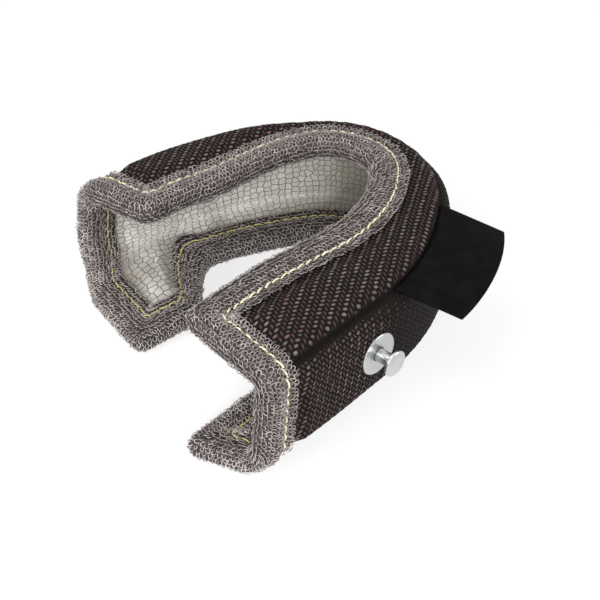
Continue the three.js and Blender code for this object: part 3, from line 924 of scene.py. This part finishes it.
def even_pairs(border, inner, pitch, at_edge, at_depth):
    """Pairs spaced evenly round the edge, measured on a line of the binding."""
    line = carried(border, inner, np.array([at_edge]), np.array([at_depth]))[:, 0]
    closed = np.vstack([line, line[:1]])
    steps = np.linalg.norm(np.diff(closed, axis=0), axis=1)
    run = np.concatenate([[0], np.cumsum(steps)])
    count = int(run[-1] / (pitch * MM))
    wanted = np.linspace(0, run[-1], count, endpoint=False)

    def at(values):
        ring = np.vstack([values, values[:1]])
        return np.stack([np.interp(wanted, run, ring[:, k]) for k in (0, 1)], axis=1)

    return at(border), at(inner)


def scatter_tree(name, build_instance, sway, spread):
    """A tree that puts one shape on each guide point, turned by the guide's attributes."""
    tree = bpy.data.node_groups.new(name, "GeometryNodeTree")
    inputs = (
        ("Guide", "Geometry"), ("Length", "Float"), ("Thickness", "Float"), ("Seed", "Int"),
        ("Finish", "Material"),
    )
    for socket, kind in inputs:
        tree.interface.new_socket(socket, in_out="INPUT", socket_type=f"NodeSocket{kind}")
    tree.interface.new_socket("Result", in_out="OUTPUT", socket_type="NodeSocketGeometry")
    net = Net(tree)
    start = net.add("NodeGroupInput").outputs
    points = net.add("GeometryNodeMeshToPoints", {"Mesh": start["Guide"]})
    ways = {}
    for key, attribute in enumerate(("facing", "heading")):
        node = net.add(
            "GeometryNodeInputNamedAttribute", {"Name": attribute}, data_type="FLOAT_VECTOR")
        ways[key] = node.outputs["Attribute"]
    axes = net.add("FunctionNodeAxesToRotation", ways, primary_axis="Z", secondary_axis="X")
    limits = {0: tuple(-x for x in sway), 1: sway, "Seed": start["Seed"]}
    jitter = net.add("FunctionNodeRandomValue", limits, data_type="FLOAT_VECTOR")
    turns = {0: axes.outputs[0], 1: jitter.outputs[0]}
    turn = net.add("FunctionNodeRotateRotation", turns, rotation_space="LOCAL")
    limits = {2: 1 - spread, 3: 1 + spread, "Seed": start["Seed"]}
    size = net.add("FunctionNodeRandomValue", limits, data_type="FLOAT")
    place = net.add("GeometryNodeInstanceOnPoints", {
        "Points": points.outputs[0],
        "Rotation": turn.outputs[0],
        "Scale": size.outputs[1],
        "Instance": build_instance(net, start),
    })
    real = net.add("GeometryNodeRealizeInstances", {0: place.outputs[0]})
    shade = net.add("GeometryNodeSetShadeSmooth", {0: real.outputs[0]})
    paint = net.add(
        "GeometryNodeSetMaterial", {"Geometry": shade.outputs[0], "Material": start["Finish"]})
    net.add("NodeGroupOutput", {0: paint.outputs[0]})
    return tree


def tube_along(net, curve, thickness, sides):
    """A round tube along a curve, with its ends filled."""
    ring = net.add(
        "GeometryNodeCurvePrimitiveCircle",
        {"Resolution": sides, "Radius": net.times(thickness, 0.5)})
    parts = {"Curve": curve, "Profile Curve": ring.outputs[0], "Fill Caps": True}
    return net.add("GeometryNodeCurveToMesh", parts).outputs[0]


def knit_loop(net, start):
    """An open ring of wire, a little longer than its pitch, so that it hooks the next one."""
    arc = net.add("GeometryNodeCurveArc", {
        "Resolution": 7,
        "Start Angle": math.radians(-35),
        "Sweep Angle": math.radians(250),
        "Radius": start["Length"],
    }, mode="RADIUS")
    tilt = net.add("GeometryNodeTransform", {
        "Geometry": arc.outputs[0], "Rotation": (0.5, 0.0, 0.0), "Scale": (0.9, 1.15, 1.0)})
    return tube_along(net, tilt.outputs[0], start["Thickness"], 3)


def lock_stitch(net, start):
    """One stitch that arches between two needle holes."""
    bow = net.add("GeometryNodeCurveQuadraticBezier", {"Resolution": 7})
    arch = (("Start", (-0.5, 0, -0.12)), ("Middle", (0, 0, 0.26)), ("End", (0.5, 0, -0.12)))
    for key, factors in arch:
        scaled_to = {0: factors, "Scale": start["Length"]}
        point = net.add("ShaderNodeVectorMath", scaled_to, operation="SCALE")
        net.plug(bow.inputs[key], point.outputs[0])
    return tube_along(net, bow.outputs[0], start["Thickness"], 7)


def scatter(name, tree, places, facing, heading, values):
    """Runs a tree on guide points and keeps the result as a plain mesh."""
    piece = build_mesh(name, places, [])
    store_vectors(piece, "facing", facing)
    store_vectors(piece, "heading", heading)
    modifier = piece.modifiers.new("scatter", "NODES")
    modifier.node_group = tree
    for item in tree.interface.items_tree:
        if item.in_out == "INPUT" and item.name in values:
            modifier[item.identifier] = values[item.name]
    evaluated = piece.evaluated_get(bpy.context.evaluated_depsgraph_get())
    mesh = bpy.data.meshes.new_from_object(evaluated)
    piece.modifiers.clear()
    old = piece.data
    piece.data = mesh
    bpy.data.meshes.remove(old)
    mesh.name = name
    return piece


def frames_of(points):
    """Normals and headings of a ring of points, for what is laid on it."""
    heading = np.roll(points, -1, axis=0) - np.roll(points, 1, axis=0)
    crossing = np.gradient(points, axis=1)
    facing = np.cross(heading, crossing)
    facing /= np.linalg.norm(facing, axis=-1, keepdims=True) + 1e-12
    heading /= np.linalg.norm(heading, axis=-1, keepdims=True) + 1e-12
    return facing, heading


class BLANKET_OT_binding(bpy.types.Operator):
    """Folds the knitted binding over the edge and knits its loops"""
    bl_idname = "blanket.binding"
    bl_label = "Edge Binding"

    def execute(self, context):
        settings = context.scene.blanket_binding
        plump = settings.plump / MM
        border, inner = edge_run(1.5)
        b, i = even_pairs(border, inner, 1.6, 5.0, 1.0)
        profile = binding_profile(plump, 9)
        under = profile[::-1].copy()
        under[:, 1] = mix(under[:, 1], STACK / 2, 0.22)
        under = under[1:-1]
        loop = np.vstack([profile, under])
        points = above_floor(carried(b, i, loop[:, 0], loop[:, 1]), BASE_CLEAR)
        base = tube_ring("binding_layers", points)
        base.data.materials.append(under_layer_finish(settings))
        ride(base, "binding", "edge_binding")
        around = carried(b, i, np.array([5.0]), np.array([1.0]))[:, 0]
        strip = carried(b[:1], i[:1], profile[:, 0], profile[:, 1])[0]

        b, i = even_pairs(border, inner, settings.course / MM, 5.0, 1.0)
        dense = binding_profile(plump, 40)
        here = carried(b[:1], i[:1], dense[:, 0], dense[:, 1])[0]
        steps = np.linalg.norm(np.diff(here, axis=0), axis=1)
        run = np.concatenate([[0], np.cumsum(steps)])
        rows = int(run[-1] / settings.wale)
        wanted = np.linspace(0.0, run[-1], rows)
        edges = np.interp(wanted, run, dense[:, 0])
        depths = np.interp(wanted, run, dense[:, 1])
        places = above_floor(carried(b, i, edges, depths), LOOP_CLEAR)
        facing, heading = frames_of(places)
        outward = places - places.mean(axis=1, keepdims=True)
        sign = np.sign(np.einsum("ijk,ijk->ij", facing, outward).sum())
        facing = facing * sign
        stagger = (np.arange(rows) % 2)[None, :, None] * 0.5
        shifted = mix(places, np.roll(places, -1, axis=0), stagger)
        rng = np.random.default_rng(5)
        shifted = shifted + rng.normal(0, 0.00016, shifted.shape)
        tree = scatter_tree("knit_the_binding", knit_loop, (0.26, 0.26, 0.8), 0.13)
        material = wire_finish(settings)
        quarters = np.array_split(np.arange(len(b)), 4)
        for number, part in enumerate(quarters):
            values = {
                "Length": settings.course * 0.51,
                "Thickness": settings.wire,
                "Seed": number + 1,
                "Finish": material,
            }
            piece = scatter(
                f"binding_wire_{number + 1}", tree, shifted[part] + facing[part] * 0.0001,
                facing[part], heading[part], values)
            ride(piece, "binding")
        return {"FINISHED"}


class BLANKET_OT_stitching(bpy.types.Operator):
    """Sews the needle row on the outer leg and the bobbin row on the inner leg"""
    bl_idname = "blanket.stitching"
    bl_label = "Stitching"

    def execute(self, context):
        settings = context.scene.blanket_stitch
        plump = context.scene.blanket_binding.plump / MM
        border, inner = edge_run(1.5)
        tree = scatter_tree("sew_the_binding", lock_stitch, (0.04, 0.1, 0.14), 0.12)
        rows = (
            ("needle_stitches", "outer_stitching", False, settings.needle, 1.0),
            ("bobbin_stitches", "inner_stitching", True, settings.bobbin, 0.8),
        )
        for name, node, is_inner, colour, size in rows:
            height = float(binding_face(np.array(STITCH), plump)) - 0.25
            depth = STACK - height if is_inner else height
            pitch = settings.pitch / MM
            b, i = even_pairs(border, inner, pitch, STITCH, depth)
            edges = np.array([STITCH - 0.5, STITCH, STITCH + 0.5])
            places = above_floor(carried(b, i, edges, np.full(3, depth)), STITCH_CLEAR)
            facing, heading = frames_of(places)
            away = carried(b, i, edges, np.full(3, depth + (0.5 if is_inner else -0.5))) - places
            sign = np.sign(np.einsum("ijk,ijk->ij", facing, away).sum())
            side = np.cross(facing[:, 1], heading[:, 1])
            heading = heading[:, 1] + 0.14 * side
            values = {
                "Length": settings.pitch * 0.96,
                "Thickness": settings.thickness * size,
                "Seed": 9,
                "Finish": thread_finish(name, colour),
            }
            piece = scatter(name, tree, places[:, 1], facing[:, 1] * sign, heading, values)
            ride(piece, "thread", node)
        return {"FINISHED"}


class BLANKET_OT_label(bpy.types.Operator):
    """Folds the bare satin label and hangs it from the shoulder seam"""
    bl_idname = "blanket.label"
    bl_label = "Side Label"

    def execute(self, context):
        settings = context.scene.blanket_label
        start = APEX + LABEL_PAST_APEX
        width, length = settings.width / MM, settings.length / MM
        s = np.linspace(start, start + width, 49)
        section = Section(s)
        seat = blanket_point(s, section.shoulder, edge_press(np.full_like(s, 40.0)) + 1.8) / MM
        _, _, inward_x, inward_y = plan_at(np.array(start + width / 2))
        flat = np.array([-float(inward_x), -float(inward_y), 0.0])
        fall, level = math.sin(LABEL_DROOP), math.cos(LABEL_DROOP)
        out = flat * level + np.array([0, 0, -fall])
        up = flat * fall + np.array([0, 0, level])
        reach = np.linspace(0, 1, 27)
        turns = np.linspace(math.pi / 2, -math.pi / 2, 9)[1:-1]

        def folded(half):
            """One face of the folded tape: out along the top, round the fold and back."""
            top = [(0.5 + r * (length - 0.5), LABEL_MIDDLE + half) for r in reach]
            fold = [(length + half * math.cos(t), LABEL_MIDDLE + half * math.sin(t)) for t in turns]
            back = [(x, 2 * LABEL_MIDDLE - height) for x, height in top[::-1]]
            return top + fold + back

        outer_half, inner_half = LABEL_PLIES
        outline = np.array(folded(outer_half) + folded(inner_half)[::-1])
        places = seat[:, None, :] + out * outline[None, :, :1] + up * outline[None, :, 1:]
        share = (outline[:, 0] / length)[None, :]
        along = np.linspace(-1, 1, len(s))[:, None]
        curl = 0.9 * share ** 2 * np.cos(along * 2.2 + 0.5) + 0.5 * share * along ** 3
        places = (places + up * curl[..., None]) * MM
        rows, columns = places.shape[:2]
        index = np.arange(rows * columns).reshape(rows, columns)
        quads = grid_faces(index, False, True)
        faces = quads.tolist()
        for row, flip in ((index[0], -1), (index[-1], 1)):
            one, two = row[:columns // 2], row[:columns // 2 - 1:-1]
            for k in range(columns // 2 - 1):
                faces.append([int(n) for n in (one[k], one[k + 1], two[k + 1], two[k])][::flip])
        piece = closed_mesh("satin_label", places, faces, quads)
        piece.data.materials.append(satin_finish(settings))
        ride(piece, "label", "side_label")
        return {"FINISHED"}


def turned(name, profile, centre, axis, sides=72):
    """A body turned about an axis. The profile is radius and height in mm, up the axis."""
    axis = np.array(axis, dtype=float)
    axis /= np.linalg.norm(axis)
    one = np.cross(axis, (0.0, 0.0, 1.0))
    one /= np.linalg.norm(one)
    two = np.cross(axis, one)
    angles = np.linspace(0, 2 * math.pi, sides, endpoint=False)
    ring = np.cos(angles)[:, None] * one + np.sin(angles)[:, None] * two
    profile = np.array(profile)
    points = centre + (ring[:, None] * profile[None, :, :1] + axis * profile[None, :, 1:]) * MM
    index = np.arange(points.shape[0] * points.shape[1]).reshape(points.shape[:2])
    closed = bool(profile[0, 0] > 0)
    quads = grid_faces(index, True, closed)
    piece = build_mesh(name, points, quads.tolist())
    shape = bmesh.new()
    shape.from_mesh(piece.data)
    bmesh.ops.remove_doubles(shape, verts=shape.verts, dist=1e-7)
    bmesh.ops.recalc_face_normals(shape, faces=shape.faces)
    shape.to_mesh(piece.data)
    shape.free()
    piece.data.shade_smooth()
    piece.data.set_sharp_from_angle(angle=SHARP)
    return piece


class BLANKET_OT_rivets(bpy.types.Operator):
    """Turns the two lacing rivets and their washers"""
    bl_idname = "blanket.rivets"
    bl_label = "Lacing Rivets"

    def execute(self, context):
        settings = context.scene.blanket_rivet
        material = steel_finish(settings)
        for side in ("left", "right"):
            mounts = frame["record"]["mounts"]
            mount = next(m for m in mounts if m["name"] == f"{side}_lacing_rivet")
            tip = np.array(mount["pos_m"], dtype=float)
            axis = np.array(mount["axis"], dtype=float)
            head = settings.head / MM / 2
            foot = -RIVET_LENGTH
            profile = [
                (0, foot), (2.9, foot), (3.7, foot + 0.35), (4.0, foot + 1.0), (2.75, foot + 1.0),
                (2.75, -1.6), (3.0, -1.35), (head - 0.25, -1.3), (head, -1.05), (head, -0.3),
                (head - 0.3, 0.0), (2.2, 0.02), (1.5, -0.1), (0, -0.12),
            ]
            pieces = [(f"turned_{side}_rivet", profile, tip, f"{side}_rivet")]
            washer = settings.washer / MM / 2
            for place, radius in (("outer", washer), ("inner", INNER_WASHER)):
                node = f"{side}_{place}_washer"
                low, high = (np.array(corner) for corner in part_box(node))
                centre = (low + high) / 2
                centre = tip + axis * float(np.dot(centre - tip, axis))
                ring = [
                    (RIVET_BORE, -0.45), (radius - 0.2, -0.45), (radius, -0.3), (radius, 0.2),
                    (radius - 0.25, 0.45), (3.3, 0.45), (RIVET_BORE, 0.25),
                ]
                pieces.append((f"pressed_{node}", ring, centre, node))
            for name, outline, centre, node in pieces:
                piece = turned(name, outline, centre, axis)
                piece.data.materials.append(material)
                ride(piece, "steel", node)
        return {"FINISHED"}


def aimed(name, data, place, target):
    """Puts a lamp or camera at a place, looking at a target with its top up."""
    way = np.array(target) - np.array(place)
    flat = math.hypot(way[0], way[1])
    holder = bpy.data.objects.new(name, data)
    holder.location = place
    holder.rotation_euler = (math.atan2(flat, -way[2]), 0.0, math.atan2(-way[0], way[1]))
    bpy.context.collection.objects.link(holder)
    return holder


class BLANKET_OT_stage(bpy.types.Operator):
    """Sets the pale floor, the soft studio light and the camera"""
    bl_idname = "blanket.stage"
    bl_label = "Studio"

    def execute(self, context):
        settings = context.scene.blanket_stage
        signs = np.array([(-1, -1, 0), (1, -1, 0), (1, 1, 0), (-1, 1, 0)])
        corners = signs * FLOOR_HALF
        floor = build_mesh("studio_floor", corners, [(0, 1, 2, 3)])
        finish = Finish("pale_floor", Roughness=0.9)
        finish.shader.inputs["Base Color"].default_value = tuple(settings.floor)
        path = finish.add("ShaderNodeLightPath")
        seen = finish.maths("ADD", path.outputs["Is Camera Ray"], path.outputs["Is Glossy Ray"])
        seen = finish.maths("ADD", seen, path.outputs["Is Transmission Ray"])
        share = finish.times(finish.maths("MINIMUM", seen, 1.0), FLOOR_GLOW)
        glow = finish.add("ShaderNodeEmission", {"Color": (1, 1, 1, 1), "Strength": 1.0})
        sides = {0: share, 1: finish.shader.outputs[0], 2: glow.outputs[0]}
        both = finish.add("ShaderNodeMixShader", sides)
        finish.links.new(both.outputs[0], finish.nodes["Material Output"].inputs["Surface"])
        floor.data.materials.append(finish.material)

        world = bpy.data.worlds.new("studio_air")
        context.scene.world = world
        world.use_nodes = True
        net = Net(world.node_tree)
        path = net.add("ShaderNodeLightPath").outputs
        seen = net.maths("MAXIMUM", path["Is Camera Ray"], path["Is Glossy Ray"])
        level = net.add("ShaderNodeMapRange", {"Value": seen, "To Min": AIR_LEVEL, "To Max": 1.0})
        back = net.nodes["Background"]
        net.plug(back.inputs["Color"], (1, 1, 1, 1))
        net.plug(back.inputs["Strength"], level.outputs[0])

        lamps = (
            ("overhead_box", (-0.15, 0.2, 0.95), 0.6, 2.4),
            ("front_box", (-0.85, -0.75, 0.78), 0.4, 16.0),
            ("left_box", (-0.9, 0.35, 0.4), 0.4, 5.0),
            ("side_box", (0.5, -0.7, 0.45), 0.4, 1.5),
        )
        for name, place, size, power in lamps:
            lamp = bpy.data.lights.new(name, "AREA")
            lamp.size = size
            lamp.energy = power
            aimed(name, lamp, place, (0.0, 0.0, 0.02))

        camera = bpy.data.cameras.new("photo_camera")
        camera.lens = settings.lens
        camera.sensor_width = 36.0
        camera.clip_start = 0.01
        context.scene.camera = aimed("photo_camera", camera, CAMERA_PLACE, CAMERA_TARGET)
        context.scene.view_settings.view_transform = "Standard"
        return {"FINISHED"}


class BLANKET_PT_panel(bpy.types.Panel):
    """Lists the blanket's pieces and their sizes and colours"""
    bl_label = "Heat Blanket"
    bl_idname = "BLANKET_PT_panel"
    bl_space_type = "VIEW_3D"
    bl_region_type = "UI"
    bl_category = "Blanket"

    def draw(self, context):
        for operator, group in PARTS:
            box = self.layout.box()
            box.operator(operator.bl_idname)
            if group:
                settings = getattr(context.scene, group)
                for key in settings.__annotations__:
                    box.prop(settings, key)


GROUPS = {
    "blanket_cover": CoverSettings,
    "blanket_lining": LiningSettings,
    "blanket_binding": BindingSettings,
    "blanket_stitch": StitchSettings,
    "blanket_label": LabelSettings,
    "blanket_rivet": RivetSettings,
    "blanket_stage": StageSettings,
}
PARTS = (
    (BLANKET_OT_stage, "blanket_stage"),
    (BLANKET_OT_covers, "blanket_cover"),
    (BLANKET_OT_felt, None),
    (BLANKET_OT_lining, "blanket_lining"),
    (BLANKET_OT_binding, "blanket_binding"),
    (BLANKET_OT_stitching, "blanket_stitch"),
    (BLANKET_OT_label, "blanket_label"),
    (BLANKET_OT_rivets, "blanket_rivet"),
)


def register():
    for name, group in GROUPS.items():
        bpy.utils.register_class(group)
        setattr(bpy.types.Scene, name, bpy.props.PointerProperty(type=group))
    for operator, _ in PARTS:
        bpy.utils.register_class(operator)
    bpy.utils.register_class(BLANKET_PT_panel)


def unregister():
    bpy.utils.unregister_class(BLANKET_PT_panel)
    for operator, _ in reversed(PARTS):
        bpy.utils.unregister_class(operator)
    for name, group in reversed(GROUPS.items()):
        delattr(bpy.types.Scene, name)
        bpy.utils.unregister_class(group)


def main():
    register()
    bpy.ops.blanket.stage()
    bpy.ops.blanket.covers()
    bpy.ops.blanket.felt()
    bpy.ops.blanket.lining()
    bpy.ops.blanket.binding()
    bpy.ops.blanket.stitching()
    bpy.ops.blanket.label()
    bpy.ops.blanket.rivets()


if __name__ == "__main__":
    main()
